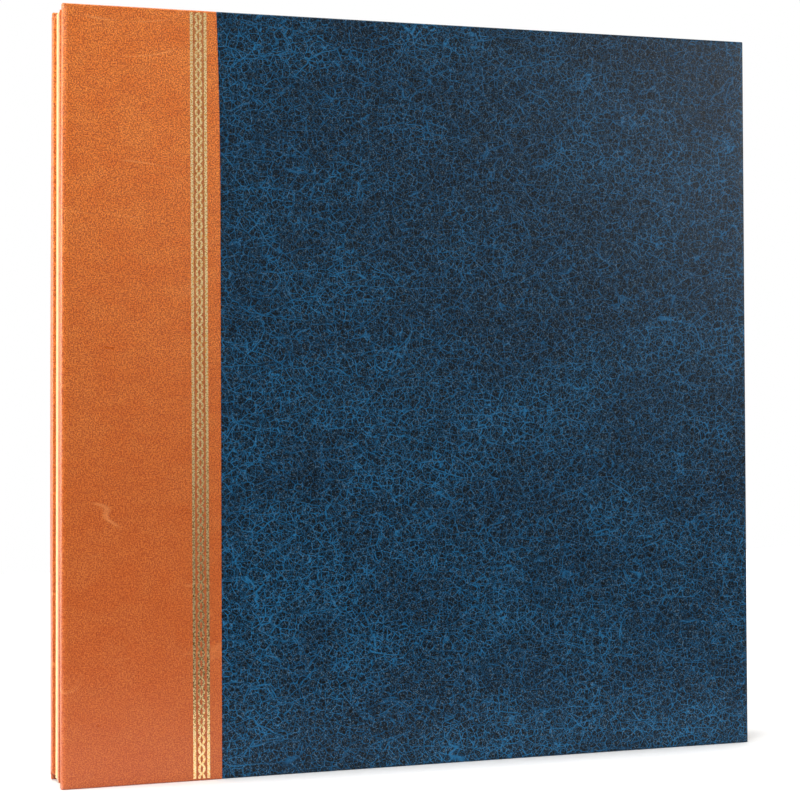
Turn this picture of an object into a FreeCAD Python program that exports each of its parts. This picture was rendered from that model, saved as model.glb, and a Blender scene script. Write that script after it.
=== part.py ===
import FreeCAD, Part

# Screw-post stamp album, standing upright on the bottom edges of its two hard covers.
# X runs from the spine (-X) to the fore edge (+X), the front cover faces -Y and Z is up.
# Millimetres. The origin is the bottom centre of the closed album.
import os

from FreeCAD import Vector

# ---- covers -------------------------------------------------------------------------
COVER_WIDTH = 313.0
COVER_HEIGHT = 320.0
COVER_THICKNESS = 3.5
COVER_CORNER = 1.0          # radius of the four corners, seen from the front
COVER_RIM = 0.9             # rounding where the covering turns over the board's edges
SPINE_ROLL_SHARE = 0.46     # fuller rounding along the spine edge, as a share of the thickness
TAN_WIDTH = 66.4            # tan strip, from the spine edge
TAN_LAP = 6.0               # how far the tan strip laps over the blue covering
TAN_PROUD = 0.25            # how far the tan strip stands above the blue covering
EDGE_SKIN = 0.35            # leatherette over the board's edges and under the blue face
TURN_IN = 15.0              # leatherette folded onto the inner face
TURN_IN_THICKNESS = 0.3
ENDPAPER_THICKNESS = 0.2
ENDPAPER_MARGIN = 4.0
BAND_START = 53.9           # gold band, from the spine edge
BAND_WIDTH = 7.1
BAND_RECESS = 0.10          # the foil is pressed into the tan strip
FOIL_THICKNESS = 0.06

# ---- hinge folds and binding flaps --------------------------------------------------
HINGE_GAP = 0.7             # room for the folded hinge between a cover and its flap
FOLD_CLEARANCE = 0.02
FOLD_SKIN = 0.3
FOLD_REACH = 12.0           # how far the hinge is glued inwards from the spine
FLAP_OVERHANG = 0.5         # the flaps stand this far out beyond the covers' spine edge
FLAP_WIDTH = 30.0
FLAP_THICKNESS = 2.8
FLAP_SKIN = 0.3
FLAP_SHORT = 2.4            # the flaps stop this far inside the covers, top and bottom
FLAP_CORNER = 1.5
FLAP_RIM = 0.8

# ---- screw posts --------------------------------------------------------------------
POST_COUNT = 3
POST_SPACING = 105.0
POST_FROM_FLAP_EDGE = 11.0
POST_HEAD = 10.0
POST_HEAD_THICKNESS = 1.0
POST_BARREL = 5.0
POST_BORE = 4.0
POST_BORE_DEPTH = 12.0
SCREW_SHANK = 3.9
SCREW_SHANK_LENGTH = 10.0
SCREW_SLOT_WIDTH = 1.2
SCREW_SLOT_DEPTH = 0.45
HEAD_POCKET = 10.4
HEAD_POCKET_DEPTH = 1.1
POST_HOLE = 5.6
BARREL_END_GAP = 0.2

# ---- leaves -------------------------------------------------------------------------
LEAF_COUNT = 8
LEAF_PITCH = 1.625
CARD_THICKNESS = 0.6
LINEN_THICKNESS = 0.25
GLASSINE_THICKNESS = 0.12
STUB_SETBACK = 1.56         # stubs and spacers sit this far inside the flaps' spine edge
STUB_SHORT = 1.5
SPACER_WIDTH = 17.5
CREASE_PAST_FLAP = 2.0      # where a leaf starts to bend, inboard of the flap
CREASE_WIDTH = 7.0          # bare linen between a stub and its leaf
LINEN_ON_STUB = 12.0
LINEN_ON_LEAF = 10.0
LEAF_SHORT = 3.5
LEAF_FORE_MARGIN = 6.0
LEAF_CORNER = 3.0
GLASSINE_MARGIN = 2.5

# ---- places worked out from the above -----------------------------------------------
LEAVES_THICKNESS = LEAF_COUNT * LEAF_PITCH
HALF_STACK = LEAVES_THICKNESS / 2
FLAP_INNER_Y = -HALF_STACK
FLAP_OUTER_Y = FLAP_INNER_Y - FLAP_THICKNESS
COVER_INNER_Y = FLAP_OUTER_Y - HINGE_GAP
COVER_OUTER_Y = COVER_INNER_Y - COVER_THICKNESS
SKIN_INNER_Y = COVER_INNER_Y - ENDPAPER_THICKNESS
BOARD_INNER_Y = SKIN_INNER_Y - TURN_IN_THICKNESS
BLUE_OUTER_Y = COVER_OUTER_Y + TAN_PROUD
BOARD_OUTER_Y = BLUE_OUTER_Y + EDGE_SKIN

ALBUM_WIDTH = COVER_WIDTH + FLAP_OVERHANG
FORE_X = ALBUM_WIDTH / 2
SPINE_X = FORE_X - COVER_WIDTH
FLAP_SPINE_X = SPINE_X - FLAP_OVERHANG
FLAP_INNER_X = FLAP_SPINE_X + FLAP_WIDTH
POST_X = FLAP_SPINE_X + POST_FROM_FLAP_EDGE
STUB_X = FLAP_SPINE_X + STUB_SETBACK
CREASE_X = FLAP_INNER_X + CREASE_PAST_FLAP
LEAF_X = CREASE_X + CREASE_WIDTH
MIDDLE_Z = COVER_HEIGHT / 2
POST_HEIGHTS = [MIDDLE_Z + POST_SPACING * (i - (POST_COUNT - 1) / 2) for i in range(POST_COUNT)]

ALONG_Y = Vector(0, 1, 0)


def box(x0, x1, y0, y1, z0, z1):
    """A box between two corners."""
    return Part.makeBox(x1 - x0, y1 - y0, z1 - z0, Vector(x0, y0, z0))


def rod(diameter, y0, y1, x, z):
    """A round rod along Y."""
    return Part.makeCylinder(diameter / 2, y1 - y0, Vector(x, y0, z), ALONG_Y)


def edges_along(shape, axis):
    """The shape's straight edges that run along X, Y or Z."""
    found = []
    for edge in shape.Edges:
        ends = [vertex.Point for vertex in edge.Vertexes]
        step = ends[1] - ends[0]
        if abs(abs(step.dot(axis)) - step.Length) < 1e-6:
            found.append(edge)
    return found


def rim_edges(shape, y0, y1):
    """The edges that lie flat in the planes y0 and y1."""
    found = []
    for edge in shape.Edges:
        limits = edge.BoundBox
        flat = limits.YLength < 1e-4
        at_rim = min(abs(limits.YMin - y0), abs(limits.YMin - y1)) < 1e-4
        if flat and at_rim:
            found.append(edge)
    return found


def plate(x0, x1, y0, y1, z0, z1, corner, rim=0.0):
    """A flat plate with rounded corners and, if rim is given, rounded rims."""
    blank = box(x0, x1, y0, y1, z0, z1)
    rounded = blank.makeFillet(corner, edges_along(blank, ALONG_Y))
    if not rim:
        return rounded
    return rounded.makeFillet(rim, rim_edges(rounded, y0, y1))


def rolled_plate(inset, y0, y1):
    """A cover-sized plate, shrunk by inset, with a fuller roll along its spine edge."""
    x0, x1 = SPINE_X + inset, FORE_X - inset
    z0, z1 = inset, COVER_HEIGHT - inset
    flat = plate(x0, x1, y0, y1, z0, z1, COVER_CORNER - inset, COVER_RIM - inset)
    blank = box(x0, x1 + 1, y0, y1, z0 - 1, z1 + 1)
    spine_edges = [e for e in edges_along(blank, Vector(0, 0, 1)) if e.BoundBox.XMax < x0 + 1e-6]
    return flat.common(blank.makeFillet(SPINE_ROLL_SHARE * (y1 - y0), spine_edges))


def cover_board():
    """Greyboard stiffener of a cover."""
    return rolled_plate(EDGE_SKIN, BOARD_OUTER_Y, BOARD_INNER_Y)


def turn_in_window(y0, y1):
    """The part of the inner face that the folded-in leatherette leaves bare."""
    return box(SPINE_X + TURN_IN, FORE_X - TURN_IN, y0, y1, TURN_IN, COVER_HEIGHT - TURN_IN)


def blue_leatherette(board):
    """Blue covering: outer face, three edges and the turn-ins."""
    outer = rolled_plate(0.0, BLUE_OUTER_Y, SKIN_INNER_Y)
    keep = box(SPINE_X + TAN_WIDTH - TAN_LAP, FORE_X + 1, COVER_OUTER_Y, SKIN_INNER_Y + 1, -1, COVER_HEIGHT + 1)
    skin = outer.common(keep).cut(board)
    return skin.cut(turn_in_window(BOARD_INNER_Y - 0.01, SKIN_INNER_Y + 1))


def band_box(outer_y, depth):
    """A strip of the gold band's width and length, from outer_y inwards."""
    x0 = SPINE_X + BAND_START
    return box(x0, x0 + BAND_WIDTH, outer_y, outer_y + depth, COVER_RIM, COVER_HEIGHT - COVER_RIM)


def tan_leatherette(board, blue):
    """Tan strip: wraps the spine edge, stands proud of the blue and laps over it."""
    outer = rolled_plate(0.0, COVER_OUTER_Y, SKIN_INNER_Y)
    keep = box(SPINE_X - 1, SPINE_X + TAN_WIDTH, COVER_OUTER_Y - 1, SKIN_INNER_Y + 1, -1, COVER_HEIGHT + 1)
    skin = outer.common(keep).cut(board).cut(blue)
    skin = skin.cut(turn_in_window(BOARD_INNER_Y - 0.01, SKIN_INNER_Y + 1))
    return skin.cut(band_box(COVER_OUTER_Y, BAND_RECESS))


def gold_band():
    """Hot-stamped foil, lying in the groove that its die pressed into the tan strip."""
    return band_box(COVER_OUTER_Y + BAND_RECESS - FOIL_THICKNESS, FOIL_THICKNESS)


def endpaper():
    """Inner lining: a sheet over the turn-ins, sunk onto the board between them."""
    margin = ENDPAPER_MARGIN
    sheet = box(SPINE_X + margin, FORE_X - margin, SKIN_INNER_Y, COVER_INNER_Y, margin, COVER_HEIGHT - margin)
    return sheet.fuse(turn_in_window(BOARD_INNER_Y, SKIN_INNER_Y)).removeSplitter()


def hinge_fold():
    """Leatherette folded in two: one leg on the cover, the other on the flap."""
    y0, y1 = COVER_INNER_Y + FOLD_CLEARANCE, FLAP_OUTER_Y
    radius = (y1 - y0) / 2
    slot_radius = radius - FOLD_SKIN
    middle = (y0 + y1) / 2
    z0, height = FLAP_SHORT, COVER_HEIGHT - 2 * FLAP_SHORT
    tip_x = FLAP_SPINE_X + radius
    inner_x = SPINE_X + FOLD_REACH
    body = box(tip_x, inner_x, y0, y1, z0, z0 + height)
    body = body.fuse(Part.makeCylinder(radius, height, Vector(tip_x, middle, z0)))
    slot = box(tip_x, inner_x + 1, middle - slot_radius, middle + slot_radius, z0 - 1, z0 + height + 1)
    slot = slot.fuse(Part.makeCylinder(slot_radius, height + 2, Vector(tip_x, middle, z0 - 1)))
    return body.cut(slot).removeSplitter()


def post_holes(diameter, y0, y1):
    """Round holes, or pockets, for all the posts."""
    rods = [rod(diameter, y0, y1, POST_X, z) for z in POST_HEIGHTS]
    return Part.makeCompound(rods)


def flap_solid(inset, rim):
    """A binding flap's outline, shrunk by inset, with its post holes and head pockets."""
    solid = plate(
        FLAP_SPINE_X + inset, FLAP_INNER_X - inset,
        FLAP_OUTER_Y + inset, FLAP_INNER_Y - inset,
        FLAP_SHORT + inset, COVER_HEIGHT - FLAP_SHORT - inset,
        FLAP_CORNER - inset, rim,
    )
    solid = solid.cut(post_holes(POST_HOLE, FLAP_OUTER_Y - 1, FLAP_INNER_Y + 1))
    return solid.cut(post_holes(HEAD_POCKET, FLAP_OUTER_Y - 1, FLAP_OUTER_Y + HEAD_POCKET_DEPTH))


def flap_wrap(board):
    """Tan leatherette wrapped round the flap's board."""
    return flap_solid(0.0, FLAP_RIM).cut(board)


def post_head(y0, y1, outward, x, z):
    """A flat head with a rounded rim and a driver slot, its outer face towards outward."""
    head = rod(POST_HEAD, y0, y1, x, z)
    outer_y = y0 if outward < 0 else y1
    head = head.makeFillet(0.4, [e for e in rim_edges(head, outer_y, outer_y)])
    inner_y = outer_y - outward * SCREW_SLOT_DEPTH
    slot = box(
        x - POST_HEAD, x + POST_HEAD,
        min(outer_y, inner_y), max(outer_y, inner_y),
        z - SCREW_SLOT_WIDTH / 2, z + SCREW_SLOT_WIDTH / 2,
    )
    return head.cut(slot)


def post_barrel(z):
    """Female half: a head behind the back flap and a barrel through the whole stack."""
    seat_y = -FLAP_OUTER_Y - HEAD_POCKET_DEPTH
    end_y = FLAP_OUTER_Y + HEAD_POCKET_DEPTH + BARREL_END_GAP
    head = post_head(seat_y, seat_y + POST_HEAD_THICKNESS, 1, POST_X, z)
    barrel = head.fuse(rod(POST_BARREL, end_y, seat_y, POST_X, z))
    return barrel.cut(rod(POST_BORE, end_y - 1, end_y + POST_BORE_DEPTH, POST_X, z)).removeSplitter()


def post_screw(z):
    """Male half: a head in front of the front flap and a shank inside the barrel."""
    seat_y = FLAP_OUTER_Y + HEAD_POCKET_DEPTH
    head = post_head(seat_y - POST_HEAD_THICKNESS, seat_y, -1, POST_X, z)
    return head.fuse(rod(SCREW_SHANK, seat_y, seat_y + SCREW_SHANK_LENGTH, POST_X, z)).removeSplitter()


def leaf_front_y(index):
    """The front face of a leaf's card, counted from the front of the album."""
    return FLAP_INNER_Y + (index + 1) * LEAF_PITCH - CARD_THICKNESS


def leaf_stub(front_y):
    """Card strip that the posts pass through."""
    strip = box(STUB_X, CREASE_X, front_y, front_y + CARD_THICKNESS, STUB_SHORT, COVER_HEIGHT - STUB_SHORT)
    return strip.cut(post_holes(POST_HOLE, front_y - 1, front_y + CARD_THICKNESS + 1))


def leaf_spacer(front_y):
    """Narrow strip in front of a stub, which makes up the room that mounted stamps need."""
    y0 = front_y - (LEAF_PITCH - CARD_THICKNESS)
    strip = box(STUB_X, STUB_X + SPACER_WIDTH, y0, front_y, STUB_SHORT, COVER_HEIGHT - STUB_SHORT)
    return strip.cut(post_holes(POST_HOLE, y0 - 1, front_y + 1))


def leaf_linen(front_y):
    """Linen strip that joins a stub to its leaf across the crease."""
    return box(
        CREASE_X - LINEN_ON_STUB, LEAF_X + LINEN_ON_LEAF,
        front_y - LINEN_THICKNESS, front_y,
        LEAF_SHORT, COVER_HEIGHT - LEAF_SHORT,
    )


def leaf_card(front_y):
    """The stamp-carrying card of a leaf."""
    return plate(
        LEAF_X, FORE_X - LEAF_FORE_MARGIN,
        front_y, front_y + CARD_THICKNESS,
        LEAF_SHORT, COVER_HEIGHT - LEAF_SHORT,
        LEAF_CORNER,
    )


def leaf_glassine(front_y):
    """Translucent sheet that protects the stamps on the card."""
    margin = GLASSINE_MARGIN
    return plate(
        LEAF_X + LINEN_ON_LEAF + margin, FORE_X - LEAF_FORE_MARGIN - margin,
        front_y - GLASSINE_THICKNESS, front_y,
        LEAF_SHORT + margin, COVER_HEIGHT - LEAF_SHORT - margin,
        LEAF_CORNER,
    )


def cover_parts():
    """Every piece of the front cover and its flap, by name."""
    board = cover_board()
    blue = blue_leatherette(board)
    flap_board = flap_solid(FLAP_SKIN, 0.0)
    return {
        "cover_board": board,
        "cover_blue_leatherette": blue,
        "cover_tan_leatherette": tan_leatherette(board, blue),
        "cover_gold_band": gold_band(),
        "cover_endpaper": endpaper(),
        "hinge_fold": hinge_fold(),
        "flap_board": flap_board,
        "flap_wrap": flap_wrap(flap_board),
    }


def album_parts():
    """Every node of the album, by name."""
    nodes = {}
    for name, shape in cover_parts().items():
        nodes["front_" + name] = shape
        nodes["back_" + name] = shape.mirror(Vector(0, 0, 0), ALONG_Y)
    nodes["screw_post_barrels"] = Part.makeCompound([post_barrel(z) for z in POST_HEIGHTS])
    nodes["screw_post_screws"] = Part.makeCompound([post_screw(z) for z in POST_HEIGHTS])
    for index in range(LEAF_COUNT):
        front_y = leaf_front_y(index)
        leaf = "leaf_%d_" % (index + 1)
        nodes[leaf + "stub"] = leaf_stub(front_y)
        nodes[leaf + "spacer"] = leaf_spacer(front_y)
        nodes[leaf + "linen"] = leaf_linen(front_y)
        nodes[leaf + "card"] = leaf_card(front_y)
        nodes[leaf + "glassine"] = leaf_glassine(front_y)
    return nodes


os.makedirs("parts", exist_ok=True)
for node, shape in album_parts().items():
    shape.exportStep("parts/%s.step" % node)
    print(node, len(shape.Solids), shape.isValid(), round(shape.Volume, 1))
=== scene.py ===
"""Looks of the stamp album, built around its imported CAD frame.

Lengths are in metres. The sizes of the patterns inside the materials are in millimetres.
"""

import math

import bmesh
import bpy
import numpy as np
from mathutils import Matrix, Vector


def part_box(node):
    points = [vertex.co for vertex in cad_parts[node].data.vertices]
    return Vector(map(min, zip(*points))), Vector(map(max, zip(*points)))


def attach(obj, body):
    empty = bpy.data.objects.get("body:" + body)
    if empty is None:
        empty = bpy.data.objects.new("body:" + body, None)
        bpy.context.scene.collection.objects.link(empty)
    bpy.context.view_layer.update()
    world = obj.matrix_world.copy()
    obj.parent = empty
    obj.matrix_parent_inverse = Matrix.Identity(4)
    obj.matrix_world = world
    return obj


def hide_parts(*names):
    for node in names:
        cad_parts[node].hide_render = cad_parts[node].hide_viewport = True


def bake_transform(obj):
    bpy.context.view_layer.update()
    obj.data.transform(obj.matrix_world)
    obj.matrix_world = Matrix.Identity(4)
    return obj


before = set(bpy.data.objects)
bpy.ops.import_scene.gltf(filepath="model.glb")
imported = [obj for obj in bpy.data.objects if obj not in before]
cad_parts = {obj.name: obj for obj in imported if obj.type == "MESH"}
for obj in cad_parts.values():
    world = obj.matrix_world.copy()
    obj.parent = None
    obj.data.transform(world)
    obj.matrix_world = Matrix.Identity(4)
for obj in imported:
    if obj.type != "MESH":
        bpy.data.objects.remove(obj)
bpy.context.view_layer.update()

MM = 0.001

# Covers: the turn-in, the rounding of corners and edges, and how the tan end strays from straight
TURN_IN = 15 * MM
CORNER = 0.5 * MM
FLAT_INSET = 3 * MM
HEAD_ROLL = (0.9 * MM, 0.9 * MM)
SPINE_ROLL = (2.8 * MM, 1.5 * MM)
INNER_ROLL = 0.7 * MM
SKIN = 0.25 * MM
SPINE_BOW = 0.45 * MM
BOW_REACH = 5.2 * MM
BAND_LEAN = 1.5 * MM
BORDER_LEAN = 0.8 * MM
BORDER_PULL = 1.5 * MM
PULL_REACH = 0.25  # of the height

# Gold chain band
FILLET_WIDTH = 1.2 * MM
CHAIN_PITCH = 3.95 * MM
CHAIN_SWING = 1.05 * MM
CHAIN_ROUNDNESS = 0.52
STRAND_WIDTH = 1.05 * MM
FOIL_RISE = 0.03 * MM
WEAVE_RISE = 0.012 * MM
BED_RISE = 0.006 * MM

# Patterns of the leatherettes
PATCH_MM = 3.2
VEIN_CELL_MM = 3.2
FINE_CELL_MM = 1.4
SPECK_MM = 0.42
CREASES = ((0.2, 8.0), (-0.35, 11.0))  # turn in radians, size in mm
CREASE_LINE_MM = 0.17
TAN_CLOUD_MM = 8
PEBBLE_MM = 0.56

# Hinges and leaves
FOLD_LAYER = 0.3 * MM
LINEN_THICKNESS = 0.25 * MM
GLASSINE_THICKNESS = 0.05 * MM
GLASSINE_WAVE = 0.28 * MM
RIPPLES_ACROSS = (9, 5)  # radians over the sheet's width
RIPPLES_UP = (41, 23)  # radians per metre
RIPPLE_SHIFT = 1.7  # radians from one leaf to the next
LEAVES = range(1, 9)
CARD_GRID_MM = 5.0
CARD_LINE_MM = 0.16
CARD_MARGIN = 12 * MM
CARD_SPINE_MARGIN = 22 * MM

# Fineness of the meshes
SHARP_DEGREES = 32
FACE_STEP = 6 * MM
FACE_ROWS = 60
CORNER_STEPS = 6
ROLL_STEPS = 7
WELD = 0.002 * MM
BAND_ROWS = 40
STRAND_STEPS = 14  # to one pitch of the chain
FOLD_STEP = 4 * MM
FOLD_BEND_STEPS = 13
FOLD_ROWS = 40
LINEN_COLUMNS = 30
LINEN_ROWS = 40
GLASSINE_COLUMNS = 40
GLASSINE_ROWS = 44

# Floor, and the camera of the main view, with its turn in degrees and its lens in millimetres
FLOOR_NEAR = -0.14
FLOOR_FAR = 0.9
FLOOR_SIDE = 0.9
CAMERA_PLACE = (-0.2995, -0.8400, 0.1669)
CAMERA_TURN = (91.52, 0.17, -19.26)
CAMERA_SENSOR = 36
CAMERA_LENS = 91.6
CAMERA_SHIFT = -0.097

# Soft light from around: its colour, then (Y of a direction, strength there) in front and behind
AMBIENT = (1.0, 0.98, 0.96, 1)
AMBIENT_FRONT = (-0.3, 0.1)
AMBIENT_BEHIND = (0.5, 1.0)

# Softboxes: place, the point they face, width and height, power in watts
LIGHTS = {
    "overhead": ((0.0, 0.01, 1.5), (0, 0.01, 0), (1.2, 0.08), 11),
    "side": ((-1.4, 0.0, 0.25), (-0.15, 0, 0.16), (0.9, 0.5), 18),
    "front_left": ((-0.7, -0.9, 1.0), (-0.1, 0, 0.25), (0.6, 0.6), 12.5),
    "right": ((1.15, -1.2, 0.6), (0.1, 0, 0.25), (0.6, 0.7), 12),
    "card": ((0.25, -1.46, 0.4), (-0.1, 0, 0.16), (0.4, 0.7), 0.6),
}

# Each cover's way in Y from its outer face to the leaves
SIDES = {"front": 1, "back": -1}
TAN_LOW, TAN_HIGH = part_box("front_cover_tan_leatherette")
HEIGHT = TAN_HIGH.z
SPINE_X = TAN_LOW.x
BORDER_X = TAN_HIGH.x
BAND_END_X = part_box("front_cover_gold_band")[1].x


# ---------------------------------------------------------------- shapes

def clamp(value):
    """The value, kept between 0 and 1."""
    return min(max(value, 0), 1)


def spine_bow(x, z):
    """The bulge of a cover's tan end towards -X near the spine, most at mid-height."""
    reach = clamp((SPINE_X + BOW_REACH - x) / BOW_REACH)
    return -SPINE_BOW * reach * (1 - (2 * z / HEIGHT - 1) ** 2)


def band_shift(z):
    """The stamped band leans a little: its head is nearer the spine."""
    return BAND_LEAN * (0.5 - z / HEIGHT)


def border_shift(z):
    """The tan strip's cut edge leans too, and pulls in at its head."""
    head = clamp(1 - (1 - z / HEIGHT) / PULL_REACH)
    return BORDER_LEAN * (0.5 - z / HEIGHT) - BORDER_PULL * head ** 2


def tan_shift(x, z):
    """How far the tan covering's points move in X, for the bow and for the lean of its cut edge."""
    return spine_bow(x, z) + border_shift(z) * clamp((x - BAND_END_X) / (BORDER_X - BAND_END_X))


def no_shift(x, z):
    """The blue covering is straight."""
    return 0


def outer_y(node, side):
    """Y of the face of a cover's node that looks away from the leaves."""
    low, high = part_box(node)
    return low.y if side > 0 else high.y


def new_piece(name, mesh, material):
    """Links a finished mesh as an object, smooth except over sharp edges."""
    piece = bpy.data.objects.new(name, mesh)
    bpy.context.scene.collection.objects.link(piece)
    for polygon in mesh.polygons:
        polygon.use_smooth = True
    mesh.set_sharp_from_angle(angle=math.radians(SHARP_DEGREES))
    mesh.materials.append(material)
    return piece


def slab(name, front, back, material, across):
    """A closed sheet between two grids of points. The UV map is its flat size in metres."""
    rows, columns = len(front), len(front[0])
    count = rows * columns

    def at(side, i, j):
        return side * count + i * columns + j

    faces = []
    for i in range(rows - 1):
        for j in range(columns - 1):
            faces.append([at(0, i, j), at(0, i, j + 1), at(0, i + 1, j + 1), at(0, i + 1, j)])
            faces.append([at(1, i, j), at(1, i + 1, j), at(1, i + 1, j + 1), at(1, i, j + 1)])
    for i in range(rows - 1):
        for j, (a, b) in ((0, (i, i + 1)), (columns - 1, (i + 1, i))):
            faces.append([at(0, a, j), at(0, b, j), at(1, b, j), at(1, a, j)])
    for j in range(columns - 1):
        for i, (a, b) in ((0, (j + 1, j)), (rows - 1, (j, j + 1))):
            faces.append([at(0, i, a), at(0, i, b), at(1, i, b), at(1, i, a)])
    mesh = bpy.data.meshes.new(name)
    mesh.from_pydata([tuple(p) for grid in (front, back) for row in grid for p in row], [], faces)
    flat = mesh.uv_layers.new(name="flat")
    for loop in mesh.loops:
        i, j = divmod(loop.vertex_index % count, columns)
        flat.data[loop.index].uv = (across[i], front[i][j][2])
    shape = bmesh.new()
    shape.from_mesh(mesh)
    bmesh.ops.recalc_face_normals(shape, faces=shape.faces)
    shape.to_mesh(mesh)
    shape.free()
    return new_piece(name, mesh, material)


def strip(name, path, thickness, low, high, rows, material):
    """A sheet that follows a path of (x, y) points and runs from low to high in Z."""
    path = [Vector(p) for p in path]
    across = [0.0]
    for a, b in zip(path, path[1:]):
        across.append(across[-1] + (b - a).length)
    sides = ([], [])
    for i, point in enumerate(path):
        along = (path[min(i + 1, len(path) - 1)] - path[max(i - 1, 0)]).normalized()
        normal = Vector((along.y, -along.x)) * thickness / 2
        for side, turned in zip(sides, (point + normal, point - normal)):
            side.append([(turned.x, turned.y, z) for z in np.linspace(low, high, rows)])
    return slab(name, *sides, material, across)


def rolled_profile(roll, depth):
    """(inset, depth) pairs from a cover's flat face, round its edge and in to the turn-in's end."""
    turn = np.linspace(0, math.pi / 2, ROLL_STEPS)
    outer = [(roll[0] * (1 - math.sin(a)), roll[1] * (1 - math.cos(a))) for a in turn]
    inner = [(INNER_ROLL * (1 - math.cos(a)), depth - INNER_ROLL * (1 - math.sin(a))) for a in turn]
    return [(FLAT_INSET, 0)] + outer + inner + [(FLAT_INSET, depth), (TURN_IN, depth)]


def rim_stations(columns, rows):
    """Stations along a covering's rim, from the tail round the edge to the head.

    Each has its part of the rim, an X, Z or angle there, and its share of the edge's own roll.
    """
    turn = np.linspace(0, math.pi / 2, CORNER_STEPS)
    stations = [("tail", x, 0) for x in columns]
    stations += [("tail corner", a, a / (math.pi / 2)) for a in turn]
    stations += [("edge", z, 1) for z in rows]
    stations += [("head corner", a, a / (math.pi / 2)) for a in turn[::-1]]
    stations += [("head", x, 0) for x in columns[::-1]]
    return stations


def rim_point(part, value, inset, edge_x, out):
    """(x, z) of a rim station at some inset from the cover's outline. out is the way to the edge."""
    if part == "edge":
        x, z = edge_x - out * inset, min(max(value, inset), HEIGHT - inset)
    elif part in ("tail", "head"):
        x, z = out * min(out * value, out * edge_x - inset), inset
    else:
        centre, radius = max(CORNER, inset), max(CORNER - inset, 0)
        x = edge_x - out * centre + out * radius * math.sin(value)
        z = centre - radius * math.cos(value)
    if part.startswith("head"):
        z = HEIGHT - z
    return x, z


def add_quads(shape, lines):
    """Faces between each line of vertices and the next."""
    for a, b in zip(lines, lines[1:]):
        for k in range(len(a) - 1):
            shape.faces.new((a[k], a[k + 1], b[k + 1], b[k]))


def clean_outward(shape, side):
    """Welds the seams of a covering and turns its faces outwards."""
    bmesh.ops.remove_doubles(shape, verts=shape.verts, dist=WELD)
    bmesh.ops.dissolve_degenerate(shape, edges=shape.edges, dist=WELD)
    bmesh.ops.recalc_face_normals(shape, faces=shape.faces)
    shape.normal_update()
    outermost = min(shape.faces, key=lambda f: f.calc_center_median().y * side)
    if outermost.normal.y * side > 0:
        bmesh.ops.reverse_faces(shape, faces=shape.faces)


def thickened(name, shape, material):
    """A solid piece, SKIN thick, inwards from an open surface."""
    mesh = bpy.data.meshes.new(name)
    shape.to_mesh(mesh)
    shape.free()
    sheet = new_piece(name + "_sheet", mesh, material)
    solid = sheet.modifiers.new("thickness", "SOLIDIFY")
    solid.thickness = SKIN
    solid.offset = -1
    evaluated = sheet.evaluated_get(bpy.context.evaluated_depsgraph_get())
    thick = bpy.data.meshes.new_from_object(evaluated)
    bpy.data.objects.remove(sheet)
    thick.materials.clear()
    return new_piece(name, thick, material)


def covering(name, side, node, open_x, edge_x, roll, material, shift):
    """The covering of one end of a cover: face, edges rolled on three sides, and turn-in behind."""
    low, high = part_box(node)
    face_y = outer_y(node, side)
    out = 1 if edge_x > open_x else -1
    steps = round(abs(edge_x - open_x) / FACE_STEP)
    columns = np.linspace(open_x, edge_x - out * FLAT_INSET, steps)
    rows = np.linspace(FLAT_INSET, HEIGHT - FLAT_INSET, FACE_ROWS)
    shape = bmesh.new()

    def vertex(x, z, deep=0):
        return shape.verts.new((x + shift(x, z), face_y + side * deep, z))

    add_quads(shape, [[vertex(x, z) for z in rows] for x in columns])
    rings = []
    for part, value, share in rim_stations(columns, rows):
        mixed = [HEAD_ROLL[k] + (roll[k] - HEAD_ROLL[k]) * share for k in (0, 1)]
        profile = rolled_profile(mixed, high.y - low.y)
        rings.append([vertex(*rim_point(part, value, inset, edge_x, out), deep)
                      for inset, deep in profile])
    add_quads(shape, rings)
    clean_outward(shape, side)
    piece = thickened(name, shape, material)
    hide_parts(node)
    return piece


# ---------------------------------------------------------------- materials

def linear(code):
    """A colour from its #RRGGBB code, in linear light."""
    shares = [int(code[i:i + 2], 16) / 255 for i in (1, 3, 5)]
    return (*[s / 12.92 if s <= 0.04045 else ((s + 0.055) / 1.055) ** 2.4 for s in shares], 1)


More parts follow.
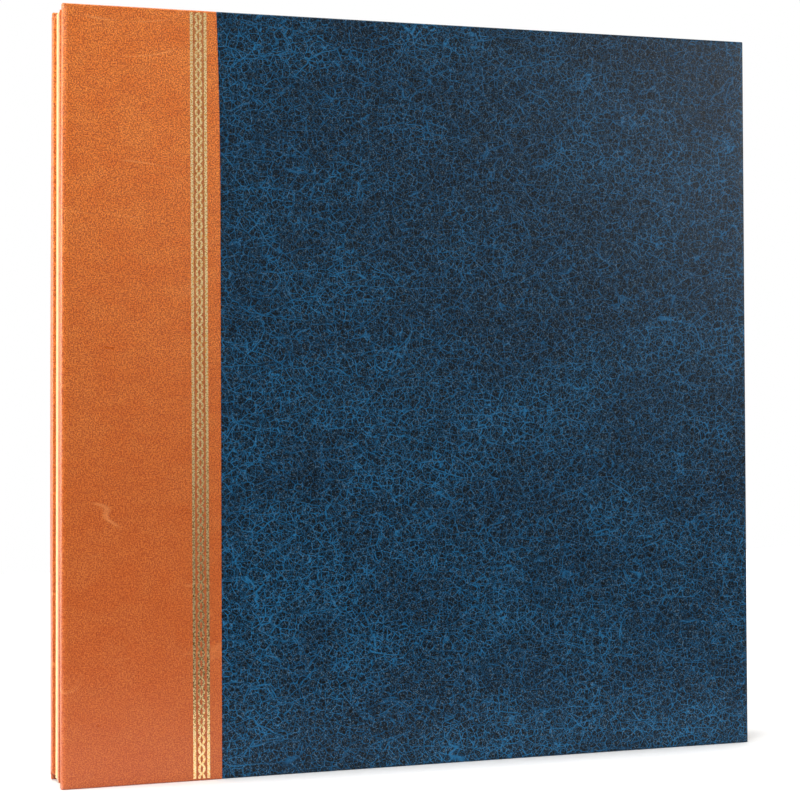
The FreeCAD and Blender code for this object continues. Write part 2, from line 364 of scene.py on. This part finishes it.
class Surface:
    """A node material with short ways to add what most of the album's materials share."""

    def __init__(self, name, roughness, metallic=0.0, specular=0.5):
        self.material = bpy.data.materials.new(name)
        self.material.use_nodes = True
        self.tree = self.material.node_tree
        self.shader = self.tree.nodes["Principled BSDF"]
        self.shader.inputs["Roughness"].default_value = roughness
        self.shader.inputs["Metallic"].default_value = metallic
        self.shader.inputs["Specular IOR Level"].default_value = specular

    def add(self, kind, inputs, output=0, **settings):
        """One output of a new node, whose inputs are linked from sockets or set to values."""
        node = self.tree.nodes.new("ShaderNode" + kind)
        for key, value in settings.items():
            setattr(node, key, value)
        for key, value in inputs.items():
            if isinstance(value, bpy.types.NodeSocket):
                self.tree.links.new(value, node.inputs[key])
            else:
                node.inputs[key].default_value = value
        return node.outputs[output]

    def millimetres(self, stretch=(1, 1, 1), turn=0, flat=False):
        """Places in mm, on the piece or in its flat measure. A stretch below 1 draws patterns out."""
        place = self.add("TexCoord", {}, "UV" if flat else "Object")
        scale = [1000 * s for s in stretch]
        return self.add("Mapping", {"Vector": place, "Rotation": (0, turn, 0), "Scale": scale})

    def axis(self, place, name):
        return self.add("SeparateXYZ", {"Vector": place}, name)

    def noise(self, place, size, detail=3, rough=0.5, output="Fac"):
        """Soft noise, its largest features about size mm apart."""
        inputs = {"Vector": place, "Scale": 1 / size, "Detail": detail, "Roughness": rough}
        return self.add("TexNoise", inputs, output)

    def cracks(self, place, size):
        """Distance to the nearest border of a cell, 0 on the border, in cell sizes."""
        inputs = {"Vector": place, "Scale": 1 / size}
        return self.add("TexVoronoi", inputs, "Distance", feature="DISTANCE_TO_EDGE")

    def math(self, operation, a, b=0.0):
        return self.add("Math", {0: a, 1: b}, operation=operation)

    def between(self, value, low, high, start=0.0, end=1.0):
        """start below low, end above high, and smooth in between."""
        inputs = {"Value": value, "From Min": low, "From Max": high, "To Min": start, "To Max": end}
        return self.add("MapRange", inputs, interpolation_type="SMOOTHSTEP")

    def mix(self, share, a, b):
        """Colour a where the share is 0, colour b where it is 1."""
        return self.add("Mix", {0: share, 6: a, 7: b}, 2, data_type="RGBA")

    def wander(self, place, size, reach):
        """The same places, pushed about by up to reach."""
        push = self.noise(place, size, 2, output="Color")
        centred = self.add("VectorMath", {0: push, 1: (0.5, 0.5, 0.5)}, operation="SUBTRACT")
        scaled = self.add("VectorMath", {0: centred, "Scale": 2 * reach}, operation="SCALE")
        return self.add("VectorMath", {0: place, 1: scaled}, operation="ADD")

    def finish(self, colour, height=None, depth=0.05 * MM, roughness=None):
        """Links what was drawn to the shader. depth is the relief of a height of 1."""
        self.tree.links.new(colour, self.shader.inputs["Base Color"])
        if height is not None:
            bump = self.add("Bump", {"Height": height, "Distance": depth, "Strength": 1.0})
            self.tree.links.new(bump, self.shader.inputs["Normal"])
        if roughness is not None:
            self.tree.links.new(roughness, self.shader.inputs["Roughness"])
        return self.material


def blue_leatherette():
    """Navy leatherette with a crackle of brighter veins at several sizes, and sparse painted glints."""
    s = Surface("blue_crackle_leatherette", 0.32, specular=0.16)
    place = s.millimetres()
    bent = s.wander(s.wander(place, 7, 0.9), 0.6, 0.12)
    clouds = s.noise(s.millimetres((0.6, 1, 1)), 26, 3)
    patches = s.noise(place, PATCH_MM, 2)
    dashes = s.between(s.noise(place, 0.8, 1), 0.34, 0.56, 0.4, 1.0)
    cells = s.between(s.cracks(bent, VEIN_CELL_MM), 0.0, 0.07, 1, 0)
    grains = s.between(s.cracks(bent, FINE_CELL_MM), 0.0, 0.12, 1, 0)
    specks = s.between(s.noise(place, SPECK_MM, 1, 0.5), 0.54, 0.64)
    shown = s.between(patches, 0.38, 0.58)
    veins = s.math("MULTIPLY", cells, s.between(s.noise(place, 6, 2), 0.36, 0.54, 0.6, 1.0))
    fine = s.math("MULTIPLY", grains, s.between(shown, 0, 1, 0.34, 0.6))
    network = s.math("MULTIPLY", s.math("MAXIMUM", veins, fine), dashes)
    network = s.math("MAXIMUM", network, s.math("MULTIPLY", specks, s.between(shown, 0, 1, 0.1, 0.22)))
    for turn, size in CREASES:
        drawn = s.wander(s.millimetres((0.5, 1, 1), turn), size, size * 0.18)
        crease = s.between(s.cracks(drawn, size), 0.0, CREASE_LINE_MM / size, 1, 0)
        broken = s.between(s.noise(drawn, 0.8 * size, 1), 0.46, 0.56, 0, 0.85)
        network = s.math("MAXIMUM", network, s.math("MULTIPLY", crease, broken))
    lit = s.math("MULTIPLY", network, s.between(clouds, 0.3, 0.7, 0.84, 0.98))
    base = s.mix(s.between(patches, 0.35, 0.65), linear("#03070A"), linear("#040D15"))
    ink = s.mix(s.between(clouds, 0.35, 0.65), linear("#165680"), linear("#1E6896"))
    colour = s.mix(lit, base, ink)
    # Painted highlight: sparse pale specks in the colour stand for tiny glints on the grain
    painted_glints = s.between(s.noise(s.millimetres((1.9, 1.9, 1.9)), 0.8, 0), 0.68, 0.76, 0, 0.3)
    colour = s.mix(painted_glints, colour, linear("#7E97A8"))
    height = s.math("ADD", s.math("MULTIPLY", network, 0.6), s.math("MULTIPLY", specks, 0.4))
    return s.finish(colour, height, 0.04 * MM)


def tan_leatherette(name="tan_leatherette", shade="#EC7E2C", light="#F6903A"):
    """Smooth tan leatherette: fine pebbles, streaky clouds, faint creases, and painted shade that
    darkens it towards the tail.
    """
    s = Surface(name, 0.3, specular=0.5)
    place = s.millimetres()
    streaks = s.wander(s.millimetres((0.55, 1, 1), 0.15), 9, 5)
    clouds = s.noise(streaks, TAN_CLOUD_MM, 5, 0.62)
    grain = s.noise(place, PEBBLE_MM, 3, 0.8)
    colour = s.mix(s.between(clouds, 0.3, 0.7), linear(shade), linear(light))
    # Painted shade: the colour darkens and reddens towards the tail, standing in for less light at the
    # bottom
    tail = s.between(s.axis(place, "Z"), 0, HEIGHT / MM, 0.72, 0.0)
    colour = s.mix(tail, colour, linear("#A8502A"))
    colour = s.mix(s.between(grain, 0.42, 0.58, 0.0, 0.95), colour, linear("#983C0C"))
    lines = s.noise(s.millimetres((0.22, 1, 1), 0.1), 22, 1)
    crease = s.between(s.math("ABSOLUTE", s.math("SUBTRACT", lines, 0.5)), 0.002, 0.012, 1, 0)
    crease = s.math("MULTIPLY", crease, s.between(s.noise(place, 30, 1), 0.55, 0.68))
    colour = s.mix(s.math("MULTIPLY", crease, 0.3), colour, linear("#F0A060"))
    pebbles = s.math("SUBTRACT", s.math("MULTIPLY", crease, 0.6), grain)
    return s.finish(colour, pebbles, 0.09 * MM, s.between(clouds, 0.2, 0.8, 0.27, 0.35))


def gold_foil():
    """Hot-stamped foil, sparkling where it lies over the grain."""
    s = Surface("gold_foil", 0.26, 1.0)
    place = s.millimetres()
    speckle = s.noise(place, 0.75, 1, 0.5)
    colour = s.mix(s.between(speckle, 0.36, 0.56), linear("#E8B266"), linear("#FFE4AC"))
    return s.finish(colour, speckle, 0.035 * MM, s.between(speckle, 0.3, 0.7, 0.2, 0.34))


def paper(name, colour, fibre, roughness=0.75):
    """Uncoated paper or board: soft mottle and short fibres."""
    s = Surface(name, roughness, specular=0.3)
    mottle = s.noise(s.millimetres(), 6, 4)
    fibres = s.noise(s.millimetres((0.3, 1, 1), 0.4), 0.5, 3, 0.7)
    made = s.mix(s.between(mottle, 0.3, 0.7, 0, 0.4), linear(colour), linear(fibre))
    made = s.mix(s.between(fibres, 0.6, 0.75, 0, 0.5), made, linear(fibre))
    return s.finish(made, fibres, 0.03 * MM)


def linen():
    """Plain weave of natural thread, in the cloth's own flat measure."""
    s = Surface("woven_linen", 0.8, specular=0.2)
    thread = 0.45
    flat = s.millimetres(flat=True)
    warp = s.math("SINE", s.math("MULTIPLY", s.axis(flat, "X"), 2 * math.pi / thread))
    weft = s.math("SINE", s.math("MULTIPLY", s.axis(flat, "Y"), 2 * math.pi / thread))
    weave = s.between(s.math("MULTIPLY", warp, weft), -1, 1)
    slubs = s.noise(s.millimetres((1, 0.1, 1), flat=True), 0.8, 2)
    colour = s.mix(weave, linear("#D9CBB0"), linear("#F4EBD8"))
    colour = s.mix(s.between(slubs, 0.5, 0.8, 0, 0.4), colour, linear("#C9B893"))
    return s.finish(colour, weave, 0.08 * MM)


def leaf_card():
    """Ivory album card with a fine printed quadrille inside a plain margin."""
    s = Surface("leaf_card", 0.7, specular=0.3)
    low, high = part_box("leaf_1_card")
    place = s.millimetres()
    lines, windows = [], []
    limits = ((s.axis(place, "X"), low.x + CARD_SPINE_MARGIN, high.x - CARD_MARGIN),
              (s.axis(place, "Z"), low.z + CARD_MARGIN, high.z - CARD_MARGIN))
    for axis, start, end in limits:
        squares = math.floor((end - start) / MM / CARD_GRID_MM)
        first = start / MM
        last = first + squares * CARD_GRID_MM
        phase = s.math("PINGPONG", s.math("SUBTRACT", axis, first), CARD_GRID_MM / 2)
        lines.append(s.between(phase, CARD_LINE_MM / 2, CARD_LINE_MM, 1, 0))
        windows.append(s.math("MULTIPLY", s.math("GREATER_THAN", axis, first - CARD_LINE_MM),
                              s.math("LESS_THAN", axis, last + CARD_LINE_MM)))
    ink = s.math("MULTIPLY", s.math("MAXIMUM", *lines), s.math("MULTIPLY", *windows))
    grid = s.math("MULTIPLY", ink, 0.55)
    mottle = s.noise(place, 5, 4)
    colour = s.mix(s.between(mottle, 0.3, 0.7, 0, 0.5), linear("#F2EBD9"), linear("#E9DFC8"))
    return s.finish(s.mix(grid, colour, linear("#9AA3A8")), s.noise(place, 0.4, 3), 0.02 * MM)


def glassine():
    """Thin translucent interleaf, smooth and slightly glossy."""
    s = Surface("glassine", 0.32)
    place = s.millimetres()
    clouds = s.noise(place, 9, 4, 0.6)
    colour = s.mix(clouds, linear("#EFEDE4"), linear("#DEDCD0"))
    alpha = s.between(clouds, 0.3, 0.7, 0.32, 0.5)
    s.tree.links.new(alpha, s.shader.inputs["Alpha"])
    return s.finish(colour, s.noise(place, 14, 2), 0.3 * MM)


def post_brass():
    """Turned brass with fine brushing and a little tarnish."""
    s = Surface("post_brass", 0.3, 1.0)
    brushed = s.noise(s.millimetres((0.15, 1, 4)), 0.25, 3)
    tarnish = s.noise(s.millimetres(), 2.5, 3)
    colour = s.mix(s.between(tarnish, 0.4, 0.75), linear("#E2C27A"), linear("#A98748"))
    return s.finish(colour, brushed, 0.02 * MM, s.between(tarnish, 0.3, 0.7, 0.24, 0.4))


def floor_surface():
    """Pale and matt, with a faint glow away from the album that hides the horizon."""
    s = Surface("pale_floor", 0.7, specular=0.2)
    away = s.add("VectorMath", {0: s.millimetres()}, "Value", operation="LENGTH")
    glow = s.between(away, 170, 500, 0, 0.4)
    s.shader.inputs["Emission Color"].default_value = (1, 1, 1, 1)
    s.tree.links.new(glow, s.shader.inputs["Emission Strength"])
    mottle = s.noise(s.millimetres(), 60, 2)
    return s.finish(s.mix(mottle, linear("#F7F7F7"), linear("#FBFBFB")))


MATERIALS = {
    "blue": blue_leatherette(),
    "tan": tan_leatherette(),
    "stamped": tan_leatherette("stamped_leatherette", "#B87838", "#C88A48"),
    "foil": gold_foil(),
    "board": paper("greyboard", "#8C8578", "#6E675B", 0.85),
    "endpaper": paper("endpaper", "#EDE3CC", "#D8CBAE"),
    "stub": paper("stub_card", "#E8D2A0", "#D4BC88"),
    "spacer": paper("spacer_card", "#C8AE7A", "#B39866"),
    "card": leaf_card(),
    "linen": linen(),
    "glassine": glassine(),
    "brass": post_brass(),
}


# ---------------------------------------------------------------- pieces

def make_coverings(end, side):
    """A cover's blue covering at the free end and its tan covering at the spine end."""
    blue_node = end + "_cover_blue_leatherette"
    tan_node = end + "_cover_tan_leatherette"
    blue_low, blue_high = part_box(blue_node)
    tan_low, tan_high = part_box(tan_node)
    blue = covering(end + "_blue_covering", side, blue_node, blue_low.x, blue_high.x,
                    HEAD_ROLL, MATERIALS["blue"], no_shift)
    tan = covering(end + "_tan_covering", side, tan_node, tan_high.x, tan_low.x,
                   SPINE_ROLL, MATERIALS["tan"], tan_shift)
    for piece, slot in ((blue, "blue_leatherette"), (tan, "tan_leatherette")):
        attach(piece, end + "_cover")


def still(z):
    """The wave of a straight foil line: none."""
    return 0, 0


def strand(sign, start):
    """The wave of one strand of the chain: its sideways and outward swing at a height."""
    def wave(z):
        turn = math.pi * (z - start) / CHAIN_PITCH
        sway = math.copysign(abs(math.cos(turn)) ** CHAIN_ROUNDNESS, math.cos(turn))
        return sign * CHAIN_SWING * sway, sign * WEAVE_RISE * math.sin(turn)
    return wave


def make_gold_band(end, side):
    """Two fillets and a two-strand twisted chain of foil on a stamped bed."""
    node = end + "_cover_gold_band"
    low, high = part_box(node)
    face = outer_y(end + "_cover_tan_leatherette", side)
    middle, half = (low.x + high.x) / 2, (high.x - low.x) / 2
    steps = round((high.z - low.z) / CHAIN_PITCH * STRAND_STEPS)

    def line(name, offset, width, rise, wave, rows, thickness, material):
        """One foil line. wave gives its sideways and outward swing at a height."""
        fronts, backs = [], []
        for edge in (-width / 2, width / 2):
            front, back = [], []
            for z in np.linspace(low.z, high.z, rows):
                sway, lift = wave(z)
                x = middle + band_shift(z) + offset + sway + edge
                y = face - side * (rise + lift)
                front.append((x, y, z))
                back.append((x, y + side * thickness, z))
            fronts.append(front)
            backs.append(back)
        return slab(name, fronts, backs, material, (0, width))

    foil = MATERIALS["foil"]
    bed = MATERIALS["stamped"]
    edge = half - FILLET_WIDTH / 2
    parts = [line(end + "_gold_band", 0, 2 * half, BED_RISE, still, BAND_ROWS, 2 * BED_RISE, bed)]
    for letter, offset in (("a", -edge), ("b", edge)):
        parts.append(line(f"{end}_fillet_{letter}", offset, FILLET_WIDTH, FOIL_RISE, still,
                          BAND_ROWS, FOIL_RISE, foil))
    for letter, sign in (("a", 1), ("b", -1)):
        parts.append(line(f"{end}_strand_{letter}", 0, STRAND_WIDTH, FOIL_RISE,
                          strand(sign, low.z), steps, FOIL_RISE, foil))
    with bpy.context.temp_override(active_object=parts[0], selected_editable_objects=parts):
        bpy.ops.object.join()
    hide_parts(node)
    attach(parts[0], end + "_cover")


def make_hinge_fold(end, side):
    """The leatherette folded in two between the cover and the flap."""
    node = end + "_hinge_fold"
    low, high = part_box(node)
    middle = (low.y + high.y) / 2
    gap = (high.y - low.y - FOLD_LAYER) / 2
    flap_side, cover_side = middle + side * gap, middle - side * gap
    turn_x = low.x + FOLD_LAYER / 2 + gap
    turn = np.linspace(0, math.pi, FOLD_BEND_STEPS)
    bend = [(turn_x - gap * math.sin(a), middle + side * gap * math.cos(a)) for a in turn]
    path = [(high.x - k * FOLD_STEP, flap_side) for k in range(3)]
    path += bend + [(x, cover_side) for x, y in path[::-1]]
    piece = strip(node + "_strip", path, FOLD_LAYER, low.z, high.z, FOLD_ROWS, MATERIALS["tan"])
    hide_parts(node)
    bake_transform(piece)


def make_linen(number):
    """The linen hinge of one leaf, glued to the stub and to the leaf."""
    node = f"leaf_{number}_linen"
    low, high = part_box(node)
    y = (low.y + high.y) / 2
    path = [(x, y) for x in np.linspace(low.x, high.x, LINEN_COLUMNS)]
    piece = strip(node + "_hinge", path, LINEN_THICKNESS, low.z, high.z, LINEN_ROWS,
                  MATERIALS["linen"])
    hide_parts(node)
    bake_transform(piece)


def ripple(share, z, number):
    """A glassine sheet's ripple, 0 to 1, at a share of the way from its spine edge to its free edge."""
    first = math.sin(RIPPLES_ACROSS[0] * share + RIPPLES_UP[0] * z + RIPPLE_SHIFT * number)
    second = math.cos(RIPPLES_ACROSS[1] * share + RIPPLES_UP[1] * z)
    return 0.5 + 0.5 * first * second


def make_glassine(number):
    """The interleaf in front of one leaf, wavy towards its free edge."""
    node = f"leaf_{number}_glassine"
    low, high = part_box(node)
    y = (low.y + high.y) / 2
    sides = ([], [])
    for share in np.linspace(0, 1, GLASSINE_COLUMNS):
        x = low.x + (high.x - low.x) * share
        for side, offset in zip(sides, (-0.5, 0.5)):
            face_y = y + offset * GLASSINE_THICKNESS
            side.append([(x, face_y - GLASSINE_WAVE * share * ripple(share, z, number), z)
                         for z in np.linspace(low.z, high.z, GLASSINE_ROWS)])
    across = np.linspace(low.x, high.x, GLASSINE_COLUMNS)
    piece = slab(node + "_sheet", *sides, MATERIALS["glassine"], across)
    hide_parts(node)
    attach(piece, f"leaf_{number}")


CAD_LOOKS = {
    "board": "board",
    "endpaper": "endpaper",
    "wrap": "tan",
    "stub": "stub",
    "spacer": "spacer",
    "card": "card",
    "barrels": "brass",
    "screws": "brass",
}


def dress_cad_nodes():
    """Gives each CAD node that stays its material, by the last word of its name."""
    for name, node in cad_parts.items():
        look = CAD_LOOKS.get(name.rsplit("_", 1)[-1])
        if look:
            node.data.materials.clear()
            node.data.materials.append(MATERIALS[look])


# ---------------------------------------------------------------- stage

def make_floor():
    """A pale table top whose front edge lies just in front of the album."""
    corners = [(-FLOOR_SIDE, FLOOR_NEAR, 0), (FLOOR_SIDE, FLOOR_NEAR, 0),
               (FLOOR_SIDE, FLOOR_FAR, 0), (-FLOOR_SIDE, FLOOR_FAR, 0)]
    mesh = bpy.data.meshes.new("floor")
    mesh.from_pydata(corners, [], [(0, 1, 2, 3)])
    floor = new_piece("floor", mesh, floor_surface())


def make_world():
    """A white background for the camera, and light from around that is weaker in front."""
    world = bpy.data.worlds.new("studio")
    bpy.context.scene.world = world
    world.use_nodes = True
    nodes, links = world.node_tree.nodes, world.node_tree.links
    seen = nodes["Background"]
    seen.inputs["Color"].default_value = (1, 1, 1, 1)
    around = nodes.new("ShaderNodeBackground")
    around.inputs["Color"].default_value = AMBIENT
    fade = nodes.new("ShaderNodeMapRange")
    for end, (place, strength) in (("Min", AMBIENT_FRONT), ("Max", AMBIENT_BEHIND)):
        fade.inputs["From " + end].default_value = place
        fade.inputs["To " + end].default_value = strength
    axes = nodes.new("ShaderNodeSeparateXYZ")
    links.new(nodes.new("ShaderNodeTexCoord").outputs["Generated"], axes.inputs[0])
    links.new(axes.outputs["Y"], fade.inputs["Value"])
    links.new(fade.outputs[0], around.inputs["Strength"])
    choice = nodes.new("ShaderNodeMixShader")
    links.new(nodes.new("ShaderNodeLightPath").outputs["Is Camera Ray"], choice.inputs[0])
    links.new(around.outputs[0], choice.inputs[1])
    links.new(seen.outputs[0], choice.inputs[2])
    links.new(choice.outputs[0], nodes["World Output"].inputs["Surface"])


def make_lights():
    """The softboxes, each turned to face its target."""
    for name, (place, target, size, power) in LIGHTS.items():
        data = bpy.data.lights.new(name, "AREA")
        data.shape = "RECTANGLE"
        data.size, data.size_y = size
        data.energy = power
        light = bpy.data.objects.new(name, data)
        light.location = place
        aim = Vector(target) - Vector(place)
        light.rotation_euler = aim.to_track_quat("-Z", "Y").to_euler()
        bpy.context.scene.collection.objects.link(light)


def make_camera():
    """The camera, in front of the album and to the spine side, with colours shown as they are."""
    data = bpy.data.cameras.new("camera")
    data.sensor_width = CAMERA_SENSOR
    data.lens = CAMERA_LENS
    data.shift_y = CAMERA_SHIFT
    camera = bpy.data.objects.new("camera", data)
    camera.location = CAMERA_PLACE
    camera.rotation_euler = [math.radians(turn) for turn in CAMERA_TURN]
    scene = bpy.context.scene
    scene.collection.objects.link(camera)
    scene.camera = camera
    scene.view_settings.view_transform = "Standard"


make_floor()
make_world()
make_lights()
make_camera()
for end, side in SIDES.items():
    make_coverings(end, side)
    make_gold_band(end, side)
    make_hinge_fold(end, side)
for number in LEAVES:
    make_linen(number)
    make_glassine(number)
dress_cad_nodes()
